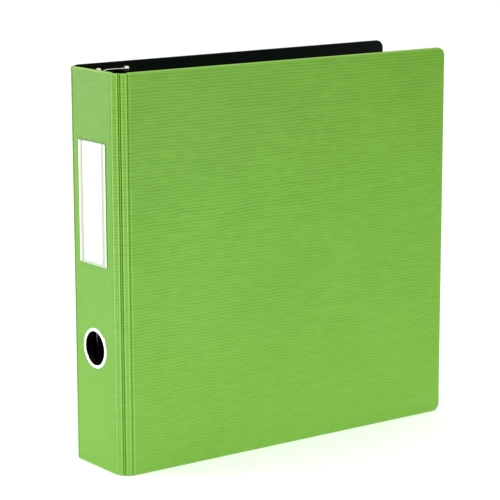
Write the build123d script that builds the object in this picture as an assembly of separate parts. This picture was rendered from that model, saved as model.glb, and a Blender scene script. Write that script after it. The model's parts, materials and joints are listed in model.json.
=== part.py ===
from build123d import *
import os
from math import sin, cos, tan, radians

# Ring-bound stamp album, standing upright on its lower edges.
# A cloth-covered case of three boards (front, spine, back) joined by creased cloth hinges,
# with a three-ring D mechanism riveted inside the back cover, a label pocket and a
# metal-rimmed finger hole on the spine.
# Row frame: +Z up, spine towards -X, front cover towards -Y, back cover towards +Y.
# Design frame used below: x from the spine's outer face, y from the front cover's outer
# face, z from the table. The last step moves it to the centre of the footprint.

# ---------------------------------------------------------------- driving dimensions, mm
H = 292.0            # height of the case
COVER_W = 292.0      # last crease to the fore-edge, each cover
D = 69.0             # outer face to outer face of the covers, at their creases
SPLAY = 0.75         # each cover stands this far off parallel at rest
CLOTH = 0.5          # cover cloth on the outer face and round the edges
BOARD = 2.0          # greyboard
TURN = 0.3           # cloth turned in under the liner
LINER = 0.2          # liner sheet over the turn-in
PANEL = CLOTH + BOARD + TURN + LINER   # 3.0, one covered board
TURN_W = 14.0        # width of the turn-in
CORNER_R = 6.5       # rounded fore-edge corners
LINER_INSET = 0.2    # liner stops this short of the free edges

STRIP = 6.08         # crease-to-crease width of one hinge strip
STRIP_CORE = 1.0     # board strip inside the hinge band
STRIP_LINER = 0.5
STRIP_T = CLOTH + STRIP_CORE + STRIP_LINER
STRIP_Z = 0.5        # strips stop this short of top and bottom
FOLD = 30.0 - SPLAY / 3   # turn at each of the three creases at rest
GAP = 0.15           # each panel stops this short of its crease line
BOARD_GAP = 1.2      # boards and core strips stop this short, so that the cloth can bend

HOLE_Z = 89.5        # finger hole centre
HOLE_R = 12.5        # finger hole, clear radius
EYE_WALL = 0.5       # eyelet barrel wall
EYE_R = 15.1         # eyelet flange and washer outer radius
EYE_PROUD = 1.0      # flange stands this proud of the spine

LABEL_W = 35.2       # label pocket, overall
LABEL_H = 89.3
LABEL_Z0 = 151.4
CARD_W = 25.6        # label card
FILM = 0.3           # pocket film and card thickness
WELD = 3.4           # welded side margins of the pocket

MECH_X = 31.0        # ring mechanism centre line from the spine's outer face
RING_PITCH = 107.95  # three-hole pitch, 4.25 in
RING_R = 2.0         # ring wire radius
PLATE = 0.8          # housing sheet
HOUSE_HALF = 12.5    # housing half width
BLADE = 1.0          # hinge blade sheet
PIV_U = 11.0         # blade pivot, across
PIV_V = 3.0          # blade pivot, above the back liner
BLADE_L = 10.9       # pivot to inner edge
BLADE_TILT = 7.5     # blades dip this much when the rings are shut
RING_TOP = 56.0      # ring wire centre line above the back liner
LEVER_IN = 24.0      # lever pivot below the top edge (and above the lower edge)
LEVER_V = 5.0        # lever pivot above the back liner
LEVER_TILT = 13.5    # lever arm from the cover's plane when shut
LEVER_L = 20.7       # pivot to the centre of the curl
LIP_HALF = 13.9      # half width of the lip
EAR = 3.5            # length of the curled ear at each end of the lip
LIP_EDGE = ((-10.4, -2.2), (-9.8, -2.0), (-5.8, -0.7), (-1.7, 0.5), (4.1, 0.2), (10.4, -0.1))  # bare edge between the ears, from LEVER_L
CURL_R = 1.8
PIN_R = 1.2
RIVET_Z = (92.0, 200.0)

f1, f2, f3 = (radians(FOLD * n) for n in (1, 2, 3))
hinge = STRIP * (cos(f1) + cos(f2))                             # hinge depth along y
crease = [(0, hinge), (STRIP * sin(f1), hinge - STRIP * cos(f1)), (STRIP * (sin(f1) + sin(f2)), 0)]
fore = crease[2][0] + COVER_W * sin(f3) + PANEL * cos(f3)       # furthest point of the fore-edge
y_in = D - PANEL                                                # back liner face
rings_z = (H / 2 - RING_PITCH, H / 2, H / 2 + RING_PITCH)
lever_z = H - LEVER_IN
bevel = tan(radians(15))
RIVET_HEAD = 1.5

# footprint centre of everything, protruding metal included
SHIFT = (-(fore - EYE_PROUD) / 2, -D / 2, 0)

os.makedirs("parts", exist_ok=True)


def save(shape, name):
    moved = Location(SHIFT) * shape
    solids = moved.solids()
    export_step(solids[0] if len(solids) == 1 else Compound(children=list(solids)), f"parts/{name}.step")


def slab(s0, s1, t0, t1, z0, z1):
    return Pos((s0 + s1) / 2, (t0 + t1) / 2, (z0 + z1) / 2) * Box(s1 - s0, t1 - t0, z1 - z0)


def rounded(s0, s1, t0, t1, z0, z1, r):
    """A slab whose two corners at s1 are rounded, for a free fore-edge."""
    b = slab(s0, s1, t0, t1, z0, z1)
    if r <= 0:
        return b
    e = [e for e in b.edges().filter_by(Axis.Y) if abs(e.center().X - s1) < 1e-6]
    return fillet(e, r)


def keep(s0, s1, t, low_hinge, high_hinge, gap=GAP):
    """Prism that bevels a panel back from the creases at its hinge edges."""
    a0 = s0 + (gap if low_hinge else -1)
    a1 = a0 + (t * bevel if low_hinge else 0)
    b0 = s1 - (gap if high_hinge else -1)
    b1 = b0 - (t * bevel if high_hinge else 0)
    face = make_face(Polyline((a0, 0), (b0, 0), (b1, t), (a1, t), close=True))
    return Pos(0, 0, -1) * extrude(face, H + 2, dir=(0, 0, 1))


def cover_panel(w):
    """Covered board with its hinge edge at s = 0 and its free edge at s = w. Returns cloth, board, liner."""
    k = keep(0, w, PANEL, True, False)
    t_b = CLOTH + BOARD
    outer = rounded(-2, w, 0, t_b + TURN, 0, H, CORNER_R)
    core = rounded(-3, w - CLOTH, CLOTH, t_b, CLOTH, H - CLOTH, CORNER_R - CLOTH)
    window = slab(-3, w - TURN_W, t_b, t_b + TURN, TURN_W, H - TURN_W)
    cloth = (outer - core - window) & k
    board = core & keep(0, w, PANEL, True, False, BOARD_GAP)
    sheet = rounded(-3, w - LINER_INSET, t_b + TURN, PANEL, LINER_INSET, H - LINER_INSET, CORNER_R - LINER_INSET)
    liner = (sheet + window) & k
    return cloth, board, liner


def place(px, py, dx, dy):
    """Local frame of a panel: X along its width, Y inwards from its outer face."""
    return Plane(origin=(px, py, 0), x_dir=(dx, dy, 0), z_dir=(0, 0, 1)).location


def mirror_y(shape):
    return mirror(shape, Plane(origin=(0, D / 2, 0), x_dir=(1, 0, 0), z_dir=(0, 1, 0)))


# ---------------------------------------------------------------- front cover
cloth, board, liner = cover_panel(COVER_W)
at_front = place(*crease[2], sin(f3), -cos(f3))
front = {"cloth": at_front * cloth, "board": at_front * board, "liner": at_front * liner}
for part, shape in front.items():
    save(shape, f"front_cover_{part}")

# ---------------------------------------------------------------- back cover, with rivet holes
back = {part: mirror_y(shape) for part, shape in front.items()}
to_back = Pos(crease[2][0], D, 0) * Rot(0, 0, SPLAY) * Pos(-crease[2][0], -D, 0)   # turns with the back cover
for z in RIVET_Z:
    drill = to_back * Pos(MECH_X, D, z) * Rot(90, 0, 0) * Cylinder(2.8, 20)
    back = {part: shape - drill for part, shape in back.items()}
for part, shape in back.items():
    save(shape, f"back_cover_{part}")

# ---------------------------------------------------------------- hinge strips
k = keep(0, STRIP, STRIP_T, True, True)
lo, hi = STRIP_Z, H - STRIP_Z
strip = {
    "cloth": slab(0, STRIP, 0, CLOTH, lo, hi) & k,
    "core": slab(0, STRIP, CLOTH, CLOTH + STRIP_CORE, lo, hi) & keep(0, STRIP, STRIP_T, True, True, BOARD_GAP),
    "liner": slab(0, STRIP, CLOTH + STRIP_CORE, STRIP_T, lo, hi) & k,
}
strip_a = place(*crease[0], sin(f1), -cos(f1))      # next to the spine
strip_b = place(*crease[1], sin(f2), -cos(f2))      # next to the cover
for part, shape in strip.items():
    save(strip_a * shape, f"front_hinge_spine_strip_{part}")
    save(strip_b * shape, f"front_hinge_cover_strip_{part}")
    save(mirror_y(strip_a * shape), f"back_hinge_spine_strip_{part}")
    save(mirror_y(strip_b * shape), f"back_hinge_cover_strip_{part}")

# ---------------------------------------------------------------- spine
sw = D - 2 * hinge
k = keep(0, sw, PANEL, True, True)
t_b = CLOTH + BOARD
outer = slab(-2, sw + 2, 0, t_b + TURN, 0, H)
core = slab(-3, sw + 3, CLOTH, t_b, CLOTH, H - CLOTH)
window = slab(-3, sw + 3, t_b, t_b + TURN, TURN_W, H - TURN_W)
sheet = slab(-3, sw + 3, t_b + TURN, PANEL, LINER_INSET, H - LINER_INSET)
at_spine = place(0, D - hinge, 0, -1)
hole = Pos(0, D / 2, HOLE_Z) * Rot(0, 90, 0) * Cylinder(HOLE_R + EYE_WALL, 30)
save(at_spine * ((outer - core - window) & k) - hole, "spine_cloth")
save(at_spine * (core & keep(0, sw, PANEL, True, True, BOARD_GAP)) - hole, "spine_board")
save(at_spine * ((sheet + window) & k) - hole, "spine_liner")

# finger hole: an eyelet pushed through from outside and rolled over a washer inside
r0, r1 = HOLE_R, HOLE_R + EYE_WALL
WASHER = 0.6
in_f, roll = PANEL + WASHER, 0.7
profile = Polyline(
    (r0, -0.35), (r0 + 0.5, -0.8), (r0 + 1.3, -EYE_PROUD), (EYE_R - 0.7, -0.75), (EYE_R, -0.25), (EYE_R, 0),
    (r1, 0), (r1, in_f), (r1 + 1.2, in_f), (r1 + 1.0, in_f + 0.45), (r1 + 0.3, in_f + roll), (r0 + 0.25, in_f + 0.5), (r0, in_f),
    close=True,
)
to_spine = Plane(origin=(0, D / 2, HOLE_Z), x_dir=(0, 0, 1), z_dir=(0, 1, 0))   # local (r, x) as (z, x)
eyelet = revolve(to_spine * make_face(profile), Axis((0, D / 2, HOLE_Z), (1, 0, 0)), 360)
save(eyelet, "finger_hole_eyelet")
washer = Pos(PANEL + WASHER / 2, D / 2, HOLE_Z) * Rot(0, 90, 0) * (Cylinder(EYE_R, WASHER) - Cylinder(r1, WASHER))
save(washer, "finger_hole_washer")

# label pocket: two films welded down both sides and along the bottom, a card between them
yc = D / 2
lz0, lz1 = LABEL_Z0, LABEL_Z0 + LABEL_H


def plate(x0, x1, half, z0, z1):
    return Pos((x0 + x1) / 2, yc, (z0 + z1) / 2) * Box(x1 - x0, 2 * half, z1 - z0)


back_film = plate(-FILM, 0, LABEL_W / 2, lz0, lz1)
card = plate(-2 * FILM, -FILM, CARD_W / 2, lz0 + 1.6, lz1 - 0.4)
front_film = plate(-3 * FILM, -2 * FILM, LABEL_W / 2, lz0, lz1)
weld = plate(-2 * FILM, -FILM, LABEL_W / 2, lz0, lz1) - plate(-2 * FILM, -FILM, LABEL_W / 2 - WELD, lz0 + 1.4, lz1 + 1)
save(back_film, "label_pocket_back_film")
save(front_film + weld, "label_pocket_front_film")
save(card, "label_card")

# ---------------------------------------------------------------- ring mechanism
# Local (u, v): u across the mechanism along x, v up from the back liner towards the front cover.


def section(z_top):
    return Plane(origin=(MECH_X, y_in, z_top), x_dir=(1, 0, 0), z_dir=(0, 0, -1))


def prism(face, z0, z1):
    return extrude(section(z1) * face, z1 - z0)


def at(u, v, z):
    return Pos(MECH_X + u, y_in - v, z)


def poly(*pts):
    return make_face(Polyline(*pts, close=True))


HH, CR = HOUSE_HALF, 7.4
arch_out = make_face(
    ThreePointArc((-HH, 3.8), (0, CR), (HH, 3.8)) + Line((HH, 3.8), (HH, 1.4)) + Line((HH, 1.4), (-HH, 1.4)) + Line((-HH, 1.4), (-HH, 3.8))
)
arch_in = make_face(
    ThreePointArc((-HH + PLATE, 3.55), (0, CR - PLATE), (HH - PLATE, 3.55))
    + Line((HH - PLATE, 3.55), (HH - PLATE, 2.2)) + Line((HH - PLATE, 2.2), (-HH + PLATE, 2.2)) + Line((-HH + PLATE, 2.2), (-HH + PLATE, 3.55))
)
za0, za1 = LEVER_IN + 3.2, H - LEVER_IN - 3.2
housing = prism(arch_out, za0, za1) - prism(arch_in, za0 - 1, za1 + 1)
housing -= prism(poly((-10.5, 0), (10.5, 0), (10.5, 2.3), (-10.5, 2.3)), za0 - 1, za1 + 1)
for z in rings_z:
    for side in (-1, 1):
        housing -= at(side * 9.4, 4.5, z) * Box(7.6, 10, 2 * RING_R + 1.2)
for z in RIVET_Z:
    housing -= at(0, CR, z) * Rot(90, 0, 0) * Cylinder(2.55, 4)
for top in (True, False):
    zp = lever_z if top else LEVER_IN
    d = 1 if top else -1
    for side in (-1, 1):
        lug = at(side * (HH - PLATE / 2), 3.75, zp - d * 2.5) * Box(PLATE, 7.5, 11)
        lug = fillet([e for e in lug.edges().filter_by(Axis.X) if e.center().Y < y_in - 7], 2.0)
        lug -= at(side * HH, LEVER_V, zp) * Rot(0, 90, 0) * Cylinder(PIN_R + 0.02, 6)
        housing += lug
save(to_back * housing, "ring_housing")

# hinge blades, dipping to the middle when the rings are shut
ct, st = cos(radians(BLADE_TILT)), sin(radians(BLADE_TILT))


def on_blade(side, along, up):
    """Point on a blade: along from its pivot to its inner edge, up from its middle plane."""
    return (side * (PIV_U - along * ct - up * st), PIV_V - along * st + up * ct)


def blade_solid(side):
    h = BLADE / 2
    face = poly(*[on_blade(side, a, b) for a, b in ((-0.2, -h + 0.2), (0, -h), (BLADE_L, -h), (BLADE_L, h), (0, h), (-0.2, h - 0.2))])
    return prism(face, LEVER_IN + 2.4, H - LEVER_IN - 2.4)


def ring_half(side, z):
    if side > 0:
        path = FilletPolyline((8.2, 2.0), (7.2, RING_TOP), (-1.4, RING_TOP), radius=6.5)
    else:
        path = FilletPolyline(
            (-8.2, 2.0), (-8.2, 9.0), (-15.5, 19.0), (-15.5, 40.0), (-8.5, RING_TOP), (-1.55, RING_TOP),
            radius=[10.0, 14.0, 20.0, 9.0],
        )
    path = section(z) * path
    start = path @ 0
    wire = sweep(Plane(origin=start, z_dir=path % 0) * Circle(RING_R), path=path)
    # the wire stands on its blade
    big = poly(*[on_blade(side, a, b) for a, b in ((-6, -12), (16, -12), (16, BLADE / 2), (-6, BLADE / 2))])
    wire -= prism(big, z - 5, z + 5)
    # staked stub through the blade
    along = (PIV_U - 8.15) / ct
    base = on_blade(side, along, BLADE / 2)
    tip = on_blade(side, along, -BLADE / 2 - 0.35)
    axis = Vector(side * -st, ct)                       # blade normal in (u, v)
    stub_len = BLADE + 0.35
    mid = ((base[0] + tip[0]) / 2, (base[1] + tip[1]) / 2)
    turn = Plane(origin=(MECH_X + mid[0], y_in - mid[1], z), z_dir=(axis.X, -axis.Y, 0))
    wire += turn * Cylinder(1.3, stub_len)
    # butting tips: a pin on the spine-side half, a socket in the other
    if side < 0:
        wire += at(-1.55 + 0.55, RING_TOP, z) * Rot(0, 90, 0) * Cylinder(0.9, 1.3)
    else:
        wire -= at(-1.4 + 0.7, RING_TOP, z) * Rot(0, 90, 0) * Cylinder(1.25, 1.8)
    return wire, turn


for side, name in ((-1, "spine_side"), (1, "page_side")):
    blade = blade_solid(side)
    halves = []
    for z in rings_z:
        wire, turn = ring_half(side, z)
        halves.append(wire)
        blade -= turn * Cylinder(1.3, 6)
    for z in RIVET_Z:
        blade -= at(0, 3, z) * Rot(90, 0, 0) * Cylinder(4.4, 12)
    save(to_back * blade, f"{name}_blade")
    save(to_back * Compound(children=halves), f"{name}_ring_halves")

# rivets from outside the back cover, each through a spacer post to the housing's crown
rivets, posts = [], []
for z in RIVET_Z:
    shank = at(0, (CR + 0.5 - PANEL) / 2, z) * Rot(90, 0, 0) * Cylinder(2.5, CR + 0.5 + PANEL)
    head = at(0, -PANEL - RIVET_HEAD / 2, z) * Rot(90, 0, 0) * Cylinder(5.5, RIVET_HEAD)
    head = fillet([e for e in head.edges().filter_by(GeomType.CIRCLE) if e.center().Y > D + 1], 1.2)
    collar = at(0, CR + 0.25, z) * Rot(90, 0, 0) * Cylinder(3.9, 0.7)
    collar -= at(0, CR, z) * Rot(90, 0, 0) * Cylinder(2.5, 4)
    # the collar is seated on the curved crown
    collar -= prism(arch_out, z - 6, z + 6)
    rivets.append(shank + head + collar)
    post = at(0, 3.25, z) * Rot(90, 0, 0) * (Cylinder(3.4, 6.5) - Cylinder(2.5, 6.5))
    post -= housing
    posts.append(post)
save(to_back * Compound(children=rivets), "mounting_rivets")
save(to_back * Compound(children=posts), "rivet_spacer_posts")


# levers: thumb lip with two curled ears, arm, knuckle on a pin, and a tongue under the blades
def lever_solid():
    side_on = Plane(origin=(MECH_X, y_in - LEVER_V, lever_z), x_dir=(0, 0, 1), z_dir=(1, 0, 0))  # (z, v) from the pivot
    a = radians(LEVER_TILT)
    arm = (cos(a), sin(a))
    nrm = (-sin(a), cos(a))

    def p(along, off):
        return (arm[0] * along + nrm[0] * off, arm[1] * along + nrm[1] * off)

    def wide(face, half):
        return extrude(side_on * face, half, both=True)

    arm_face = poly(p(0, -0.5), p(LEVER_L, -0.5), p(LEVER_L, 0.5), p(0, 0.5))
    plate_ = wide(arm_face, LIP_HALF)
    # narrower beside the lugs, flaring to the lip
    for side in (-1, 1):
        cut = Plane(origin=(MECH_X, y_in - LEVER_V, lever_z), x_dir=(1, 0, 0), z_dir=(0, -nrm[1], nrm[0]))
        # in this plane local x is across, local y follows from the normal
        sgn = 1 if cut.y_dir.dot(Vector(0, -arm[1], arm[0])) > 0 else -1
        tri = poly((side * 11.35, -6 * sgn), (side * 11.35, 9 * sgn), (side * LIP_HALF, 17 * sgn), (side * 18, 17 * sgn), (side * 18, -6 * sgn))
        plate_ -= extrude(cut * tri, 8, both=True)
    slot = Plane(origin=(MECH_X, y_in - LEVER_V, lever_z), x_dir=(1, 0, 0), z_dir=(0, -nrm[1], nrm[0]))
    sgn = 1 if slot.y_dir.dot(Vector(0, -arm[1], arm[0])) > 0 else -1
    plate_ -= extrude(slot * (Pos(0, 9.5 * sgn) * SlotOverall(11, 4.2)), 4, both=True)
    tube = Pos(*p(LEVER_L, 1.3)) * (Circle(CURL_R) - Circle(CURL_R - 0.8))
    notch = poly(p(LEVER_L, 1.3), p(LEVER_L - 6, 1.3), p(LEVER_L - 6, 0.6), p(LEVER_L - 0.5, 0.55))
    lip = wide(tube - notch, LIP_HALF)
    # the curl is cut away between two ears, leaving a curved bare edge
    half_lip = LIP_HALF - EAR
    edge = [(u, (LEVER_L + w) * sgn) for u, w in LIP_EDGE]
    far = (LEVER_L + 8) * sgn
    over = Curve() + [Spline(*edge), Polyline(edge[-1], (half_lip, far), (-half_lip, far), edge[0])]
    plate_ -= extrude(slot * make_face(over), 5, both=True)
    lip -= extrude(slot * (Pos(0, LEVER_L * sgn) * Rectangle(2 * half_lip, 9)), 5, both=True)
    knuckle = wide(Circle(2.05), 11.35)
    web = wide(poly((-0.6, -4.75), (0.6, -4.75), (0.6, 0), (-0.6, 0)), 5.0)
    tongue = wide(poly((-8.8, -4.75), (0.6, -4.75), (0.6, -4.15), (-8.8, -4.15)), 5.0)
    body = plate_ + lip + knuckle + web + tongue
    return body - wide(Circle(PIN_R + 0.05), 20)


top_lever = lever_solid()
top_pin = at(0, LEVER_V, lever_z) * Rot(0, 90, 0) * Cylinder(PIN_R, 2 * HH + 0.8)
half_way = Plane(origin=(0, 0, H / 2), x_dir=(1, 0, 0), z_dir=(0, 0, 1))
save(to_back * top_lever, "top_lever")
save(to_back * mirror(top_lever, half_way), "bottom_lever")
save(to_back * top_pin, "top_lever_pin")
save(to_back * mirror(top_pin, half_way), "bottom_lever_pin")
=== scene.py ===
import json
import math

import bpy
import bmesh
import numpy as np
from mathutils import Matrix, Vector


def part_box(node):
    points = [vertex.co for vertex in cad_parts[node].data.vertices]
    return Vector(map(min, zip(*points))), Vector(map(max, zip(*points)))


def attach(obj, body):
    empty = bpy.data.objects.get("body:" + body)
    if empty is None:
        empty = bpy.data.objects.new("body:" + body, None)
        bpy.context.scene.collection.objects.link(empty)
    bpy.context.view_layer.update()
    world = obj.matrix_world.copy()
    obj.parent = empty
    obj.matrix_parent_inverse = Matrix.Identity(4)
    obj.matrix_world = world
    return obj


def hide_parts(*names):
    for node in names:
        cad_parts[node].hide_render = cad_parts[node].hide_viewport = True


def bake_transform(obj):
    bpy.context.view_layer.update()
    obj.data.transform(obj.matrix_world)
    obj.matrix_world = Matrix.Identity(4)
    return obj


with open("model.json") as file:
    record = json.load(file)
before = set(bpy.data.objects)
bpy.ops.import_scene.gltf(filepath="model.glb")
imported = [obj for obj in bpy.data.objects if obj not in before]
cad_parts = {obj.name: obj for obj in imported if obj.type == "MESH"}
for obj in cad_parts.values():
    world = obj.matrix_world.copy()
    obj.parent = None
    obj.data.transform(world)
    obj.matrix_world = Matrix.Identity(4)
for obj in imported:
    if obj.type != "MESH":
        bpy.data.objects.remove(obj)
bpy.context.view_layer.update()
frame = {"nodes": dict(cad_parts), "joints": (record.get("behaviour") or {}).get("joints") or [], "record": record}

# ------------------------------------------------------------------ measures, in metres, read from the frame
mm = 0.001
joints = {j["name"]: j for j in frame["joints"]}
X0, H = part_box("spine_cloth")[0].x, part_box("spine_cloth")[1].z
P = [np.array(joints[f"front_{n}_crease"]["pos_m"][:2]) for n in ("spine", "middle", "cover")]
STRIP = float(np.linalg.norm(P[1] - P[0]))


def unit(v):
    return np.array(v, float) / np.linalg.norm(v)


d_spine, d_a, d_b = np.array((0.0, -1.0)), unit(P[1] - P[0]), unit(P[2] - P[1])
turn = math.acos(float(d_spine @ d_a))
d_cover = np.array((d_b[0] * math.cos(turn) - d_b[1] * math.sin(turn), d_b[0] * math.sin(turn) + d_b[1] * math.cos(turn)))
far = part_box("front_cover_cloth")[1].x
COVER = (far - P[2][0] - 3 * mm * -d_cover[1]) / d_cover[0]
SPINE_W = 2 * abs(P[0][1])


def inward(d):
    return np.array((-d[1], d[0]))


# thicknesses, in mm, as the panels are built
T_PANEL, T_STRIP, T_LINER, CLOTH_T = 3.0, 2.0, 0.25, 0.4
WRAP_R = 0.8           # rounding where the cloth turns over a board edge
SEAM = 1.0             # the lining is turned up the edge as far as this depth below the outer face
HALF = 1.6             # a crease piece reaches this far each side of its crease line
CORNER = 6.5
PITCH = 2.34           # embossed ribs


# ------------------------------------------------------------------ smooth repeatable noise for the emboss
def lattice(seed, nx, nz):
    return np.random.RandomState(seed).uniform(-1, 1, (nx, nz))


def noise2(table, x, z):
    nx, nz = table.shape
    xi, zi = np.floor(x).astype(int), np.floor(z).astype(int)
    fx, fz = x - xi, z - zi
    fx, fz = fx * fx * (3 - 2 * fx), fz * fz * (3 - 2 * fz)
    a, b = table[xi % nx, zi % nz], table[(xi + 1) % nx, zi % nz]
    c, d = table[xi % nx, (zi + 1) % nz], table[(xi + 1) % nx, (zi + 1) % nz]
    return (a * (1 - fx) + b * fx) * (1 - fz) + (c * (1 - fx) + d * fx) * fz


N1, N2, N3, N4 = (lattice(k, 61, 67) for k in (3, 11, 29, 47))


def emboss(sig, z, amp):
    """Depth, in mm, of the rib pattern at arc position sig and height z, both in mm."""
    sig, z = np.asarray(sig, float) + 900, np.asarray(z, float)
    phase = 2 * math.pi * z / PITCH + 1.1 * noise2(N1, sig / 26, z / 15) + 0.9 * noise2(N2, sig / 6, z / 5)
    wave = 0.5 - 0.5 * np.cos(phase)
    level = 0.72 + 0.46 * noise2(N3, sig / 7, z / 2.3) + 0.16 * noise2(N4, sig / 33, z / 37)
    return amp * wave * np.clip(level, 0.15, 1.2) * (0.42 + 0.75 * np.clip((z - 10) / 190, 0, 1))


def smooth(t):
    t = np.clip(t, 0, 1)
    return t * t * (3 - 2 * t)


def bell(x, c, w):
    return math.exp(-((x - c) / w) ** 2)


# ------------------------------------------------------------------ section of the case: depth of cloth and liner at each place
def panel_section(s, length, low, high):
    """(outer depth, inner depth, end inset) at s along a board panel, in mm. low, high: is there a crease at that end?"""
    t = T_PANEL
    dist = min(s if low else 99, (length - s) if high else 99)
    inner = t
    outer = 0.0
    if low or high:
        outer += 0.09 * bell(dist, 2.7, 0.6)
    return outer, inner, 0.0


def strip_section(s):
    return 0.0, T_STRIP - 0.05 + 0.05 * float(smooth((min(s, STRIP / mm - s) - HALF) / 0.4)), 0.45


def crease_section(kind, x):
    ends = {0: (T_PANEL, 1.95), 1: (1.95, 1.95), 2: (1.95, T_PANEL)}[kind]
    end = ends[0] if x < 0 else ends[1]
    inner = 1.3 + (end - 1.3) * float(smooth(abs(x) / 1.15))
    if kind == 0:
        outer = 0.16 * bell(x, -0.95, 0.42) + 0.10 * bell(x, 0.85, 0.35) - 0.13 * bell(x, 0.0, 0.38)
        inset = 0.45 * float(smooth((x + HALF) / (2 * HALF)))
    elif kind == 1:
        outer = 0.70 * (bell(x, -0.80, 0.31) + bell(x, 0.80, 0.31)) + 0.05 * bell(x, 0, 0.5) - 0.08 * (bell(x, -1.25, 0.2) + bell(x, 1.25, 0.2))
        inset = 0.45
    else:
        outer = 0.50 * bell(x, 0.0, 0.36) - 0.08 * bell(x, -0.85, 0.24) - 0.04 * bell(x, 0.9, 0.25)
        inset = 0.45 * (1 - float(smooth((x + HALF) / (2 * HALF))))
    fade = float(smooth((HALF - abs(x)) / 0.3))
    return outer * fade, inner, inset


def straight(origin, d, s_values, section, sig0, amp, painted_shading=lambda s: 0.0):
    """Stations along a straight panel: (x, y, nx, ny, outer, inner, inset, sig, amp, painted shading)."""
    n = inward(d)
    out = []
    for s in s_values:
        p = origin + d * s * mm
        o, i, z = section(s)
        out.append((p[0], p[1], n[0], n[1], o, i, z, sig0 + s, amp(s), painted_shading(s)))
    return out


def painted_shading_at(kind, x):
    """Painted shade (above 0) and painted highlight (below 0) in the cloth's colour at x, in mm, from a crease: dark
    grooves and light lines beside them.
    """
    if kind == 0:
        return 0.35 * bell(x, -1.35, 0.5) - 1.0 * bell(x, 0.05, 0.6)
    if kind == 1:
        return 1.35 * (bell(x, -0.80, 0.36) + bell(x, 0.80, 0.36)) - 0.1 * bell(x, 0, 0.3) - 1.1 * (bell(x, -1.85, 0.42) + bell(x, 1.75, 0.42))
    return 0.7 * bell(x, 0.0, 0.50) - 0.9 * bell(x, -1.3, 0.42) - 0.4 * bell(x, 1.7, 0.6)


def bend(kind, p, d1, d2, sig0, a1, a2):
    c = 0.9
    out = []
    for x in np.linspace(-HALF, HALF, 41):
        if x <= -c:
            q, d = p + d1 * x * mm, d1
        elif x >= c:
            q, d = p + d2 * x * mm, d2
        else:
            u = (x + c) / (2 * c)
            q = (1 - u) ** 2 * (p - d1 * c * mm) + 2 * u * (1 - u) * p + u * u * (p + d2 * c * mm)
            d = unit((1 - u) * d1 + u * d2)
        n = inward(d)
        o, i, z = crease_section(kind, x)
        m = float(smooth((x + HALF) / (2 * HALF)))
        # ribs fade in the groove itself
        amp = (a1 + (a2 - a1) * m) * (1 - 0.7 * bell(x, 0, 0.9))
        # painted highlight: the strip side of each crease is coloured 0.30 lighter to even out the strips' shading
        out.append((q[0], q[1], n[0], n[1], o, i, z, sig0 + x, amp, painted_shading_at(kind, x) - 0.30 * (m if kind == 0 else (1 - m if kind == 2 else 1))))
    return out


# ------------------------------------------------------------------ meshes
STEP = 0.468
zc = H / mm - CORNER
arc = [math.sin(math.radians(a)) for a in np.arange(5, 90.1, 5)]
core = np.linspace(CORNER, zc, int(round((zc - CORNER) / STEP)) + 1)
rr = CORNER - WRAP_R
ROWS = np.concatenate([CORNER - rr * np.array(arc[::-1]), core, zc + rr * np.array(arc)])   # z, from WRAP_R to H - WRAP_R
V = (ROWS - WRAP_R) / (H / mm - 2 * WRAP_R)


def make(name, verts, faces, material, flip=False, painted_shading=None):
    me = bpy.data.meshes.new(name)
    v = np.array(verts, float)
    if flip:
        v[:, 1] *= -1
        faces = [f[::-1] for f in faces]
    me.from_pydata(v.tolist(), [], faces)
    me.polygons.foreach_set("use_smooth", [True] * len(me.polygons))
    me.materials.append(material)
    if painted_shading is not None:
        me.attributes.new("painted_shading", "FLOAT", "POINT").data.foreach_set("value", np.asarray(painted_shading, np.float32))
    me.update()
    ob = bpy.data.objects.new(name, me)
    bpy.context.scene.collection.objects.link(ob)
    return ob


def applied(ob):
    """The object with its modifiers applied."""
    bpy.context.view_layer.update()
    dg = bpy.context.evaluated_depsgraph_get()
    me = bpy.data.meshes.new_from_object(ob.evaluated_get(dg))
    ob.modifiers.clear()
    old = ob.data
    ob.data = me
    bpy.data.meshes.remove(old)
    return ob


def thicken(ob, t, offset=-1.0):
    m = ob.modifiers.new("thickness", "SOLIDIFY")
    m.thickness, m.offset, m.use_even_offset, m.use_quality_normals = t * mm, offset, False, True
    return applied(ob)


RIB_VALLEY_PAINTED_SHADE = 0.46        # painted shade: the valleys of the emboss are coloured this much darker, the crests a little lighter


def edge_split(o, i):
    """Depth of the seam on the edge, and the rounding of the lining above it."""
    seam = min(SEAM, i - o - 0.45)
    return seam, max(0.1, min(WRAP_R, i - o - seam - 0.27, 0.45 * (i - o)))


def wrap_path(o, i, z):
    """Cloth at one station as (depth, height) pairs, from the edge under the lining's turned-up rim round the outside and back."""
    r = min(WRAP_R, 0.45 * (i - o))
    seam = edge_split(o, i)[0]
    low = [(max(i - 0.7, o + seam + 0.2), z + T_LINER), (o + seam + 0.12, z + T_LINER), (o + seam, z + 0.06)]
    low += [(o + r - r * math.sin(a), z + r - r * math.cos(a)) for a in np.radians((0, 22.5, 45, 67.5))]
    top = H / mm
    rows = [(o, z + r + v * (top - 2 * z - 2 * r)) for v in V]
    return low, rows, [(t, top - h) for t, h in reversed(low)]


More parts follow.
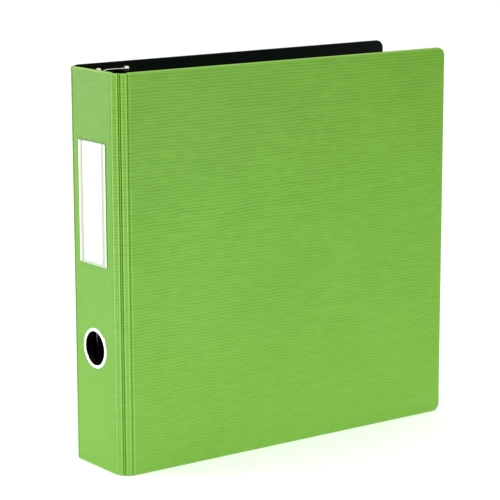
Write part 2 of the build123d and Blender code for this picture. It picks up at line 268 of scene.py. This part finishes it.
def swept_cloth(name, stations, material, flip=False, painted_shadow=None):
    verts, painted_shading, n = [], [], 0
    for x, y, nx, ny, o, i, z, sig, amp, shade in stations:
        low, rows, high = wrap_path(o, i, z)
        zz = np.array([h for _, h in rows])
        e = emboss(sig, zz, 1.0) * smooth((zz - z) / 2) * smooth((H / mm - z - zz) / 2)
        path = low + [(t + amp * k, h) for (t, h), k in zip(rows, e)] + high
        n = len(path)
        verts += [(x + nx * t * mm, y + ny * t * mm, h * mm) for t, h in path]
        soft = 0.35 + 0.65 * np.clip(zz / 210, 0, 1) if shade < 0 else 1.0   # the painted highlight lines fade towards the foot
        col = shade * soft + RIB_VALLEY_PAINTED_SHADE * (e - 0.33) * min(0.8, amp / 0.1)
        # painted shadow in the cloth's colour, where one is given
        if painted_shadow is not None:
            col = col + painted_shadow(x / mm, y / mm, zz)
        # painted highlight: the cloth is coloured lighter over the top and bottom edges, where they catch the light
        col[:2] -= 0.7
        col[-2:] -= 0.7
        painted_shading += [-0.9] * len(low) + list(col) + [-0.9] * len(high)
    faces = [(a * n + b, (a + 1) * n + b, (a + 1) * n + b + 1, a * n + b + 1) for a in range(len(stations) - 1) for b in range(n - 1)]
    return thicken(make(name, verts, faces, material, flip, painted_shading), CLOTH_T)


def swept_liner(name, stations, material, flip=False):
    """The lining over the inside, turned up both ends of the edge as far as the seam."""
    verts, n = [], 0
    for x, y, nx, ny, o, i, z, sig, amp, shade in stations:
        seam, r = edge_split(o, i)
        top = H / mm
        low = [(o + seam + 0.10, z + 0.10), (o + seam + 0.22, z)] + [(i - r + r * math.sin(a), z + r - r * math.cos(a)) for a in np.radians((0, 22.5, 45, 67.5))]
        mid = [(i, h) for h in np.linspace(z + r, top - z - r, 90)]
        path = low + mid + [(t, top - h) for t, h in reversed(low)]
        n = len(path)
        verts += [(x + nx * t * mm, y + ny * t * mm, h * mm) for t, h in path]
    faces = [(a * n + b, a * n + b + 1, (a + 1) * n + b + 1, (a + 1) * n + b) for a in range(len(stations) - 1) for b in range(n - 1)]
    return thicken(make(name, verts, faces, material, flip), T_LINER)


def cover_grid(rows, s_cols):
    """Row ends of a cover face, from the crease to the rounded fore-edge corners."""
    s_edge = COVER / mm - WRAP_R
    k = np.where(rows > zc, rows - zc, np.where(rows < CORNER, CORNER - rows, 0.0))
    ends = np.where(k > 0, s_edge - rr + np.sqrt(np.clip(rr * rr - k * k, 0, None)), s_edge)
    return s_edge, ends, (s_cols - HALF) / (s_edge - HALF)


def boundary(rows, ends, u, s_edge, ncol, nrow):
    """The free boundary as (vertex, s, z, outward s, outward z, column), along the foot, fore-edge and top."""
    chain = [(c, HALF + (ends[0] - HALF) * u[c], rows[0], 0, -1, c) for c in range(ncol)]
    for r in range(1, nrow - 1):
        z = rows[r]
        k = (z - zc) if z > zc else (z - CORNER if z < CORNER else 0.0)
        chain.append((r * ncol + ncol - 1, ends[r], z, (ends[r] - (s_edge - rr)) / rr if k else 1, k / rr, ncol - 1))
    return chain + [((nrow - 1) * ncol + c, HALF + (ends[-1] - HALF) * u[c], rows[-1], 0, 1, c) for c in reversed(range(ncol))]


def cover_cloth(name, origin, d, sig0, amp, material, flip=False):
    n = inward(d)
    w = COVER / mm
    s_cols = np.concatenate([np.arange(HALF, 4.0, 0.3), np.linspace(4.0, w - WRAP_R, 104)])
    s_edge, ends, u = cover_grid(ROWS, s_cols)
    verts, painted_shading, ncol, nrow = [], [], len(u), len(ROWS)
    sec = [panel_section(s, w, True, False) for s in s_cols]

    def put(s, z, t):
        p = origin + d * s * mm + n * t * mm
        return (p[0], p[1], z * mm)

    amps = np.array([amp(a) for a in s_cols])
    for z, e in zip(ROWS, ends):
        s = HALF + (e - HALF) * u
        k = emboss(sig0 + s, np.full_like(s, z), 1.0) * smooth(z / 2) * smooth((H / mm - z) / 2) * smooth((w - s) / 2.5)
        verts += [put(a, z, sec[j][0] + amps[j] * k[j]) for j, a in enumerate(s)]
        # painted shade in the rib valleys and the cover's crease, painted highlight on the lines beside it
        painted_shading += list(RIB_VALLEY_PAINTED_SHADE * (k - 0.33) + np.array([painted_shading_at(2, a) for a in s]))
    faces = [(r * ncol + c, r * ncol + c + 1, (r + 1) * ncol + c + 1, (r + 1) * ncol + c) for r in range(nrow - 1) for c in range(ncol - 1)]
    chain = boundary(ROWS, ends, u, s_edge, ncol, nrow)
    prev = [c[0] for c in chain]
    for step in range(7):
        ring = []
        for _, s, z, ns, nz, c in chain:
            o, i, _i = sec[c]
            r = min(WRAP_R, 0.45 * (i - o))
            if step < 4:
                a = math.radians((22.5, 45, 67.5, 90)[step])
                off, t = r * math.sin(a), o + r - r * math.cos(a)
            else:
                seam = edge_split(o, i)[0]
                off, t = ((r - 0.06, o + seam), (r - T_LINER, o + seam + 0.12), (r - T_LINER, max(i - 0.7, o + seam + 0.2)))[step - 4]
            # painted highlight: lighter colour over the top and bottom edges
            ring.append(len(verts)); verts.append(put(s + ns * (off + WRAP_R - r), z + nz * (off + WRAP_R - r), t)); painted_shading.append(-0.9 * abs(nz))
        faces += [(prev[k], ring[k], ring[k + 1], prev[k + 1]) for k in range(len(ring) - 1)]
        prev = ring
    return thicken(make(name, verts, faces, material, flip, painted_shading), CLOTH_T)


def cover_liner(name, origin, d, material, flip=False):
    n = inward(d)
    w = COVER / mm
    rows = np.concatenate([ROWS[:18], np.linspace(CORNER, zc, 62)[1:-1], ROWS[-18:]])
    s_cols = np.concatenate([np.arange(HALF, 4.0, 0.3), np.linspace(4.0, w - WRAP_R, 52)])
    s_edge, ends, u = cover_grid(rows, s_cols)
    verts, ncol, nrow = [], len(u), len(rows)
    sec = [panel_section(s, w, True, False) for s in s_cols]

    def put(s, z, t):
        p = origin + d * s * mm + n * t * mm
        return (p[0], p[1], z * mm)

    for z, e in zip(rows, ends):
        verts += [put(a, z, sec[j][1]) for j, a in enumerate(HALF + (e - HALF) * u)]
    faces = [(r * ncol + c, (r + 1) * ncol + c, (r + 1) * ncol + c + 1, r * ncol + c + 1) for r in range(nrow - 1) for c in range(ncol - 1)]
    chain = boundary(rows, ends, u, s_edge, ncol, nrow)
    prev = [c[0] for c in chain]
    for step in range(6):
        ring = []
        for _, s, z, ns, nz, c in chain:
            o, i, _i = sec[c]
            seam, r = edge_split(o, i)
            if step < 4:
                a = math.radians((22.5, 45, 67.5, 90)[step])
                off, t = r * math.sin(a), i - r + r * math.cos(a)
            else:
                off, t = ((r, o + seam + 0.22), (r - 0.10, o + seam + 0.10))[step - 4]
            ring.append(len(verts)); verts.append(put(s + ns * (off + WRAP_R - r), z + nz * (off + WRAP_R - r), t))
        faces += [(prev[k], prev[k + 1], ring[k + 1], ring[k]) for k in range(len(ring) - 1)]
        prev = ring
    return thicken(make(name, verts, faces, material, flip), T_LINER)


def lathe(name, profile, centre, axis, material, n=128):
    """profile: (radius, along the axis) in mm, closed. axis is a row axis vector."""
    axis = Vector(axis).normalized()
    q = axis.to_track_quat("Z", "X").to_matrix()
    verts, k = [], len(profile)
    for a in np.linspace(0, 2 * math.pi, n, endpoint=False):
        for r, h in profile:
            p = q @ Vector((r * mm * math.cos(a), r * mm * math.sin(a), h * mm))
            verts.append(tuple(Vector(centre) + p))
    faces = [(i * k + j, ((i + 1) % n) * k + j, ((i + 1) % n) * k + (j + 1) % k, i * k + (j + 1) % k) for i in range(n) for j in range(k)]
    ob = make(name, verts, faces, material)
    bm = bmesh.new(); bm.from_mesh(ob.data); bmesh.ops.recalc_face_normals(bm, faces=bm.faces); bm.to_mesh(ob.data); bm.free()
    return ob


def rounded_loop(pts, per=6):
    """Closed Catmull-Rom through the points, for a smooth rolled profile."""
    out, n = [], len(pts)
    for i in range(n):
        p0, p1, p2, p3 = (np.array(pts[(i + k) % n], float) for k in (-1, 0, 1, 2))
        for t in np.linspace(0, 1, per, endpoint=False):
            out.append(tuple(0.5 * (2 * p1 + (p2 - p0) * t + (2 * p0 - 5 * p1 + 4 * p2 - p3) * t * t + (3 * p1 - p0 - 3 * p2 + p3) * t ** 3)))
    return out


# ------------------------------------------------------------------ materials
def nodes_of(name):
    m = bpy.data.materials.new(name)
    m.use_nodes = True
    nt = m.node_tree
    return m, nt, nt.nodes["Principled BSDF"]


def coords(nt, scale):
    tc, mp = nt.nodes.new("ShaderNodeTexCoord"), nt.nodes.new("ShaderNodeMapping")
    mp.inputs["Scale"].default_value = scale
    nt.links.new(tc.outputs["Object"], mp.inputs["Vector"])
    return mp.outputs["Vector"]


def noise(nt, scale, size=1.0, detail=3.0, rough=0.55):
    n = nt.nodes.new("ShaderNodeTexNoise")
    n.inputs["Scale"].default_value = size
    n.inputs["Detail"].default_value = detail
    n.inputs["Roughness"].default_value = rough
    nt.links.new(coords(nt, scale), n.inputs["Vector"])
    return n.outputs["Fac"]


def remap(nt, fac, lo, hi, a=0.3, b=0.7):
    m = nt.nodes.new("ShaderNodeMapRange")
    m.inputs["From Min"].default_value, m.inputs["From Max"].default_value = a, b
    m.inputs["To Min"].default_value, m.inputs["To Max"].default_value = lo, hi
    nt.links.new(fac, m.inputs["Value"])
    return m.outputs["Result"]


def mix(nt, fac, a, b, mode="MIX"):
    m = nt.nodes.new("ShaderNodeMix")
    m.data_type, m.blend_type = "RGBA", mode
    if isinstance(fac, float):
        m.inputs["Factor"].default_value = fac
    else:
        nt.links.new(fac, m.inputs["Factor"])
    for key, v in (("A", a), ("B", b)):
        sock = [s for s in m.inputs if s.name == key and s.type == "RGBA"][0]
        if isinstance(v, tuple):
            sock.default_value = (*v, 1) if len(v) == 3 else v
        else:
            nt.links.new(v, sock)
    return [s for s in m.outputs if s.type == "RGBA"][0]


def bump(nt, height, distance, strength=1.0, under=None):
    b = nt.nodes.new("ShaderNodeBump")
    b.inputs["Distance"].default_value = distance
    b.inputs["Strength"].default_value = strength
    nt.links.new(height, b.inputs["Height"])
    if under:
        nt.links.new(under, b.inputs["Normal"])
    return b.outputs["Normal"]


def cloth_material(name, base, light, dark, painted_shade, painted_highlight):
    m, nt, p = nodes_of(name)
    broad = noise(nt, (9, 9, 11), 1.0, 2)
    streak = noise(nt, (110, 110, 900), 1.0, 3)
    thread = noise(nt, (900, 900, 3800), 1.0, 2, 0.6)
    c = mix(nt, remap(nt, broad, 0.0, 1.0), base, light)
    c = mix(nt, remap(nt, streak, 0.0, 0.12, 0.42, 0.78), c, dark)
    c = mix(nt, remap(nt, thread, 0.0, 0.16, 0.5, 0.8), c, light)
    at = nt.nodes.new("ShaderNodeAttribute")
    at.attribute_name = "painted_shading"
    # painted shade and painted highlight, mixed in from the painted shading attribute on the mesh
    c = mix(nt, remap(nt, at.outputs["Fac"], 0.0, 1.0, 0.0, 1.5), c, painted_shade)
    c = mix(nt, remap(nt, at.outputs["Fac"], 1.0, 0.0, -1.0, 0.0), c, painted_highlight)
    # painted shade: the cloth is coloured darker and more saturated towards the head and the fore-edge, standing in for
    # the light falling off there
    sep = nt.nodes.new("ShaderNodeSeparateXYZ")
    nt.links.new(coords(nt, (1, 1, 1)), sep.inputs["Vector"])
    c = mix(nt, remap(nt, sep.outputs["Z"], 0.0, 1.0, 0.03, 0.29), c, mix(nt, 1.0, c, (0.73, 0.745, 0.42), "MULTIPLY"))
    c = mix(nt, remap(nt, sep.outputs["X"], 0.0, 1.0, -0.15, 0.15), c, mix(nt, 1.0, c, (0.94, 0.935, 0.84), "MULTIPLY"))
    nt.links.new(c, p.inputs["Base Color"])
    nt.links.new(remap(nt, streak, 0.40, 0.56), p.inputs["Roughness"])
    n = bump(nt, thread, 0.00007, 0.55)
    n = bump(nt, streak, 0.00005, 0.4, n)
    nt.links.new(n, p.inputs["Normal"])
    p.inputs["Specular IOR Level"].default_value = 0.25
    return m


def liner_material(name):
    m, nt, p = nodes_of(name)
    a, b = noise(nt, (650, 650, 650), 1.0, 4), noise(nt, (14, 14, 14), 1.0, 3)
    c = mix(nt, remap(nt, b, 0.0, 1.0), (0.0014, 0.0034, 0.0014), (0.0026, 0.0052, 0.0026))
    nt.links.new(c, p.inputs["Base Color"])
    nt.links.new(remap(nt, a, 0.55, 0.75), p.inputs["Roughness"])
    nt.links.new(bump(nt, a, 0.00008, 0.6), p.inputs["Normal"])
    p.inputs["Specular IOR Level"].default_value = 0.05
    return m


def board_material(name):
    m, nt, p = nodes_of(name)
    f = noise(nt, (1500, 1500, 300), 1.0, 5, 0.7)
    nt.links.new(mix(nt, remap(nt, f, 0.0, 1.0), (0.20, 0.185, 0.16), (0.34, 0.32, 0.28)), p.inputs["Base Color"])
    nt.links.new(bump(nt, f, 0.0001, 0.6), p.inputs["Normal"])
    p.inputs["Roughness"].default_value = 0.9
    return m


def metal_material(name, base, rough, scratch=(60, 60, 1400), level=0.06):
    m, nt, p = nodes_of(name)
    s, b = noise(nt, scratch, 1.0, 4, 0.7), noise(nt, (35, 35, 35), 1.0, 3)
    c = mix(nt, remap(nt, b, 0.0, 1.0), base, tuple(min(1, k * 1.05) for k in base))
    nt.links.new(c, p.inputs["Base Color"])
    nt.links.new(remap(nt, s, rough, rough + level), p.inputs["Roughness"])
    nt.links.new(bump(nt, s, 0.000006, 0.5), p.inputs["Normal"])
    p.inputs["Metallic"].default_value = 1.0
    return m


def card_material(name):
    m, nt, p = nodes_of(name)
    f = noise(nt, (1200, 1200, 900), 1.0, 4, 0.7)
    nt.links.new(mix(nt, remap(nt, f, 0.0, 1.0), (0.80, 0.80, 0.81), (0.84, 0.84, 0.84)), p.inputs["Base Color"])
    nt.links.new(bump(nt, f, 0.00002, 0.5), p.inputs["Normal"])
    p.inputs["Roughness"].default_value = 0.6
    return m


def film_material(name, alpha, tint, rough):
    m, nt, p = nodes_of(name)
    f = noise(nt, (260, 260, 45), 1.0, 3)
    nt.links.new(mix(nt, remap(nt, f, 0.0, 1.0), tint, tuple(min(1, k * 1.04) for k in tint)), p.inputs["Base Color"])
    nt.links.new(remap(nt, f, rough, rough + 0.12), p.inputs["Roughness"])
    nt.links.new(bump(nt, f, 0.00004, 0.35), p.inputs["Normal"])
    p.inputs["Alpha"].default_value = alpha
    p.inputs["Specular IOR Level"].default_value = 0.6
    return m


# the last two colours are the painted shade in the grooves and the painted highlight on the ridges and edges
cloth = cloth_material("cover_cloth", (0.121, 0.310, 0.022), (0.130, 0.326, 0.028), (0.095, 0.262, 0.015), (0.042, 0.142, 0.003), (0.27, 0.52, 0.13))
liner = liner_material("black_liner")
board = board_material("greyboard")
nickel = metal_material("nickel_steel", (0.80, 0.77, 0.755), 0.09)
rim = metal_material("nickel_rim", (0.93, 0.93, 0.92), 0.22, (400, 400, 400), 0.04)
card_m = card_material("label_card")
# painted shade: the eyelet's barrel is nickel coloured near black, standing in for the dark lining it reflects
barrel = metal_material("barrel_nickel_painted_dark", (0.010, 0.010, 0.010), 0.34, (400, 400, 400), 0.06)
clear = film_material("pocket_film", 0.10, (0.70, 0.74, 0.69), 0.12)
weld = film_material("pocket_weld", 0.60, (0.50, 0.61, 0.44), 0.34)
bead = film_material("pocket_bead", 0.90, (0.70, 0.76, 0.68), 0.22)

# ------------------------------------------------------------------ the covered case
AMP_COVER, AMP_SPINE, AMP_STRIP = 0.11, 0.012, 0.22


def cover_amp(s):
    return AMP_STRIP + (AMP_COVER - AMP_STRIP) * float(smooth((s - HALF) / 3.0)) if s < 5 else AMP_COVER


sw = SPINE_W / mm
st = STRIP / mm
spine_s = np.concatenate([np.arange(HALF, 4.4, 0.3), np.linspace(4.4, sw - 4.4, 40), np.arange(sw - 4.1, sw - HALF + 1e-6, 0.3)])
spine_s = np.unique(np.round(np.append(spine_s, sw - HALF), 4))
back0 = np.array((P[0][0], -P[0][1]))


def spine_amp(s):
    e = min(s, sw - s)
    return AMP_SPINE + (AMP_STRIP * 0.5 - AMP_SPINE) * (1 - float(smooth((e - HALF) / 2.5)))


SEAM = 2.3
spine_st = straight(back0, d_spine, spine_s, lambda s: panel_section(s, sw, True, True), 0.0, spine_amp, lambda s: painted_shading_at(0, -min(s, sw - s)))
case = []


def hole_cut(ob, radius):
    cutter = lathe("cutter", [(0.001, -8), (radius, -8), (radius, 8), (0.001, 8)], (X0 + 1.5 * mm, eye_y, eye_z), (1, 0, 0), cloth, 96)
    m = ob.modifiers.new("hole", "BOOLEAN")
    m.operation, m.solver, m.object = "DIFFERENCE", "EXACT", cutter
    applied(ob)
    bpy.data.objects.remove(cutter)
    return ob


e_lo, e_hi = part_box("finger_hole_eyelet")
eye_y, eye_z = (e_lo.y + e_hi.y) / 2, (e_lo.z + e_hi.z) / 2
EYE_R = (e_hi.z - e_lo.z) / 2 / mm
HOLE_R = [m["dims"]["r_mm"] for m in frame["record"]["mounts"] if m["name"] == "finger_hole"][0]

pk_lo, pk_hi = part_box("label_pocket_back_film")


def pocket_mouth_painted_shadow(x, y, z):
    """Painted shadow: the cloth is coloured darker in a line along the pocket's mouth."""
    if not pk_lo.y / mm - 0.2 < y < pk_hi.y / mm + 0.2:
        return np.zeros_like(z)
    return 0.9 * np.exp(-((z - pk_hi.z / mm - 0.55) / 0.5) ** 2)


spine_wrap = hole_cut(swept_cloth("spine_cloth_wrap", spine_st, cloth, False, pocket_mouth_painted_shadow), HOLE_R + 0.4)
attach(spine_wrap, "spine"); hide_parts("spine_cloth")
spine_lining = hole_cut(swept_liner("spine_lining", spine_st, liner), HOLE_R + 0.4)
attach(spine_lining, "spine"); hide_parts("spine_liner")

for side, flip in (("front", False), ("back", True)):
    SEAM = 1.0 if flip else 2.3
    bodies = ["spine", f"{side}_spine_strip", f"{side}_cover_strip", f"{side}_cover"]
    dirs = [d_spine, d_a, d_b, d_cover]
    amps = [(AMP_STRIP * 0.5, AMP_STRIP), (AMP_STRIP, AMP_STRIP), (AMP_STRIP, AMP_STRIP)]
    for k, nm in enumerate(("spine", "middle", "cover")):
        stn = bend(k, P[k], dirs[k], dirs[k + 1], sw + k * st, *amps[k])
        if flip and k == 0:   # painted shade: the rear hinge is coloured darker beside the spine
            stn = [q[:9] + (q[9] + 1.1 * float(smooth((c / 40 - 0.10) / 0.12)),) for c, q in enumerate(stn)]
        for ob, slot in (
            (swept_cloth(f"{side}_{nm}_crease_cloth", stn, cloth, flip), "cover_cloth"),
            (swept_liner(f"{side}_{nm}_crease_lining", stn, liner, flip), "black_liner"),
        ):
            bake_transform(ob)
    for k, nm, o, d in ((1, "spine", P[0], d_a), (2, "cover", P[1], d_b)):
        # painted highlight: the hinge strips are coloured 0.30 lighter; painted shade: the rear strip beside the spine
        # is coloured darker
        stn = straight(o, d, np.linspace(HALF, st - HALF, 13), strip_section, sw + (k - 1) * st, lambda s: AMP_STRIP, lambda s: painted_shading_at(k - 1, s) + painted_shading_at(k, s - st) - 0.30 + (1.1 if flip and k == 1 else 0.0))
        ob = swept_cloth(f"{side}_{nm}_strip_wrap", stn, cloth, flip)
        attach(ob, bodies[k]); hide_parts(f"{side}_hinge_{nm}_strip_cloth")
        ob = swept_liner(f"{side}_{nm}_strip_lining", stn, liner, flip)
        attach(ob, bodies[k]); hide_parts(f"{side}_hinge_{nm}_strip_liner")
    ob = cover_cloth(f"{side}_cover_cloth_wrap", P[2], d_cover, sw + 2 * st, cover_amp, cloth, flip)
    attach(ob, bodies[3]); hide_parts(f"{side}_cover_cloth")
    ob = cover_liner(f"{side}_cover_lining", P[2], d_cover, liner, flip)
    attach(ob, bodies[3]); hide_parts(f"{side}_cover_liner")

# ------------------------------------------------------------------ finger hole
R0, R1 = HOLE_R, EYE_R
prof = [(R0, 0.3), (R0 + 0.02, -0.35), (R0 + 0.35, -0.78), (R0 + 1.1, -0.99), (R0 + 1.9, -0.86), (R1 - 0.12, -0.42), (R1, -0.04),
        (R1 - 0.25, 0.0), (R0 + 1.2, -0.28), (R0 + 0.52, 0.25), (R0 + 0.45, 3.2), (R0 + 0.8, 3.62), (R0 + 1.5, 3.62), (R0 + 1.55, 3.95),
        (R0 + 0.9, 4.28), (R0 + 0.25, 4.1), (R0, 3.5), (R0, 1.9)]
eyelet = lathe("finger_hole_rim", rounded_loop(prof, 5), (X0, eye_y, eye_z), (1, 0, 0), rim, 144)
eyelet.data.materials.append(barrel)
# painted shade: the faces inside the barrel take the near-black nickel
for f in eyelet.data.polygons:
    c = f.center - Vector((X0, eye_y, eye_z))
    f.material_index = 1 if c.x > -0.2 * mm and math.hypot(c.y, c.z) < (R0 + 0.6) * mm else 0
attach(eyelet, "spine"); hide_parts("finger_hole_eyelet")

# ------------------------------------------------------------------ label pocket
lb_lo, lb_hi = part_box("label_pocket_back_film")
cd_lo, cd_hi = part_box("label_card")
ff_lo, ff_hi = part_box("label_pocket_front_film")


def sheet_yz(name, x_fn, y0, y1, z0, z1, r, t, material, ny=26, nz=70):
    """A thin sheet facing -x with rounded corners."""
    verts, a = [], []
    for z in np.linspace(z0, z1, nz):
        k = max(r - (z - z0), r - (z1 - z), 0)
        ins = r - math.sqrt(max(r * r - k * k, 0)) if k else 0
        for y in np.linspace(y0 + ins, y1 - ins, ny):
            verts.append((x_fn(y, z), y, z))
    faces = [(i * ny + j, (i + 1) * ny + j, (i + 1) * ny + j + 1, i * ny + j + 1) for i in range(nz - 1) for j in range(ny - 1)]
    ob = make(name, verts, faces, material)
    bm = bmesh.new(); bm.from_mesh(ob.data); bmesh.ops.recalc_face_normals(bm, faces=bm.faces)
    if sum(f.normal.x for f in bm.faces) > 0:
        bmesh.ops.reverse_faces(bm, faces=bm.faces)
    bm.to_mesh(ob.data); bm.free()
    return thicken(ob, t / mm)


yc = (lb_lo.y + lb_hi.y) / 2
back_film = sheet_yz("label_pocket_back_sheet", lambda y, z: lb_lo.x + 0.05 * mm, lb_lo.y, lb_hi.y, lb_lo.z, lb_hi.z, 0.6 * mm, 0.2 * mm, clear)
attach(back_film, "spine"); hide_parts("label_pocket_back_film")
insert = sheet_yz("label_insert", lambda y, z: cd_lo.x + 0.04 * mm, cd_lo.y, cd_hi.y, cd_lo.z, cd_hi.z, 0.4 * mm, 0.22 * mm, card_m)
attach(insert, "spine"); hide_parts("label_card")


def film_x(y, z):
    """The front film lies on the card and dips to its weld lines at the sides and foot."""
    e = min(abs(y - lb_lo.y), abs(lb_hi.y - y)) / mm
    f = (z - lb_lo.z) / mm
    lift = float(smooth((min(e, f + 2.0) - 3.2) / 1.4))
    return lb_lo.x - (0.08 + 0.50 * lift) * mm


front_film = sheet_yz("label_pocket_front_sheet", film_x, lb_lo.y, lb_hi.y, lb_lo.z, lb_hi.z, 0.8 * mm, 0.12 * mm, clear, 60, 90)
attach(front_film, "spine"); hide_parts("label_pocket_front_film")


def weld_strip(name, y0, y1, z0, z1, material, crown):
    """A fused margin of the pocket: two films melted together into a low rounded bead."""
    half = (y1 - y0) / 2

    def x_at(y, z):
        k = 1 - ((y - (y0 + y1) / 2) / half) ** 2
        return film_x(y, z) - (0.05 + crown * max(k, 0) ** 0.5) * mm

    ob = sheet_yz(name, x_at, y0, y1, z0, z1, 0.3 * mm, 0.06 * mm, material, 22, 80)
    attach(ob, "spine")
    return ob


z_lo, z_hi = lb_lo.z + 0.2 * mm, lb_hi.z - 0.1 * mm
weld_strip("label_pocket_weld_back", lb_hi.y - 4.85 * mm, lb_hi.y - 1.7 * mm, z_lo, z_hi, weld, 0.04)
weld_strip("label_pocket_weld_front", lb_lo.y + 1.7 * mm, lb_lo.y + 4.85 * mm, z_lo, z_hi, weld, 0.04)
weld_strip("label_pocket_bead_back", lb_hi.y - 1.7 * mm, lb_hi.y, lb_lo.z, z_hi, bead, 0.25)
weld_strip("label_pocket_bead_front", lb_lo.y, lb_lo.y + 1.7 * mm, lb_lo.z, z_hi, bead, 0.25)
weld_strip("label_pocket_weld_foot", lb_lo.y + 1.8 * mm, lb_hi.y - 1.8 * mm, lb_lo.z, lb_lo.z + 1.7 * mm, weld, 0.15)

# ------------------------------------------------------------------ carried-over CAD nodes
for name, ob in frame["nodes"].items():
    if "_board" in name or "_core" in name:
        m = board
    elif name in ("finger_hole_washer",):
        m = rim
    elif any(k in name for k in ("ring", "blade", "lever", "rivet", "post", "housing")):
        m = nickel
    else:
        continue
    for s in ob.material_slots:
        s.material = m
    if not ob.material_slots:
        ob.data.materials.append(m)

# ------------------------------------------------------------------ stage, light, camera
fm, nt, p = nodes_of("floor")
p.inputs["Base Color"].default_value = (0.99, 0.99, 0.99, 1)
p.inputs["Roughness"].default_value = 0.9
p.inputs["Specular IOR Level"].default_value = 0.1
floor = make("floor", [(-30, -30, 0), (30, -30, 0), (30, 30, 0), (-30, 30, 0)], [(0, 1, 2, 3)], fm)

world = bpy.data.worlds.new("studio")
bpy.context.scene.world = world
world.use_nodes = True
world.node_tree.nodes["Background"].inputs["Color"].default_value = (1, 1, 1, 1)
world.node_tree.nodes["Background"].inputs["Strength"].default_value = 1.0


def area(name, loc, target, size, power, color=(1, 1, 1)):
    l = bpy.data.lights.new(name, "AREA")
    l.shape, l.size, l.energy, l.color = "SQUARE", size, power, color
    o = bpy.data.objects.new(name, l)
    bpy.context.scene.collection.objects.link(o)
    o.location = loc
    o.rotation_euler = (Vector(target) - Vector(loc)).to_track_quat("-Z", "Y").to_euler()
    return o


area("key", (-1.5, -2.5, 3.2), (0, 0, 0.15), 1.0, 50)
area("side", (-1.7, 1.5, 0.5), (-0.15, 0, 0.15), 1.6, 48)
area("low", (0.15, -0.75, 0.06), (0.02, -0.04, 0.02), 0.5, 3.0).visible_camera = False

cam_d = bpy.data.cameras.new("camera")
cam = bpy.data.objects.new("camera", cam_d)
bpy.context.scene.collection.objects.link(cam)
yaw, pitch, roll = (math.radians(a) for a in (36.6534, 11.4774, -0.1422))
fwd = Vector((math.sin(yaw) * math.cos(pitch), math.cos(yaw) * math.cos(pitch), -math.sin(pitch)))
right = Vector((math.cos(yaw), -math.sin(yaw), 0))
up = right.cross(fwd)
r2, u2 = right * math.cos(roll) + up * math.sin(roll), -right * math.sin(roll) + up * math.cos(roll)
rot = Matrix((r2, u2, -fwd)).transposed().to_4x4()
cam.matrix_world = Matrix.Translation((X0 - 0.76184, -1.17703 - 0.0345, 0.451545)) @ rot
cam_d.sensor_width = 36
cam_d.lens = 2029.108 / 500 * 36
cam_d.clip_end = 100
bpy.context.scene.camera = cam
bpy.context.scene.view_settings.view_transform = "Standard"
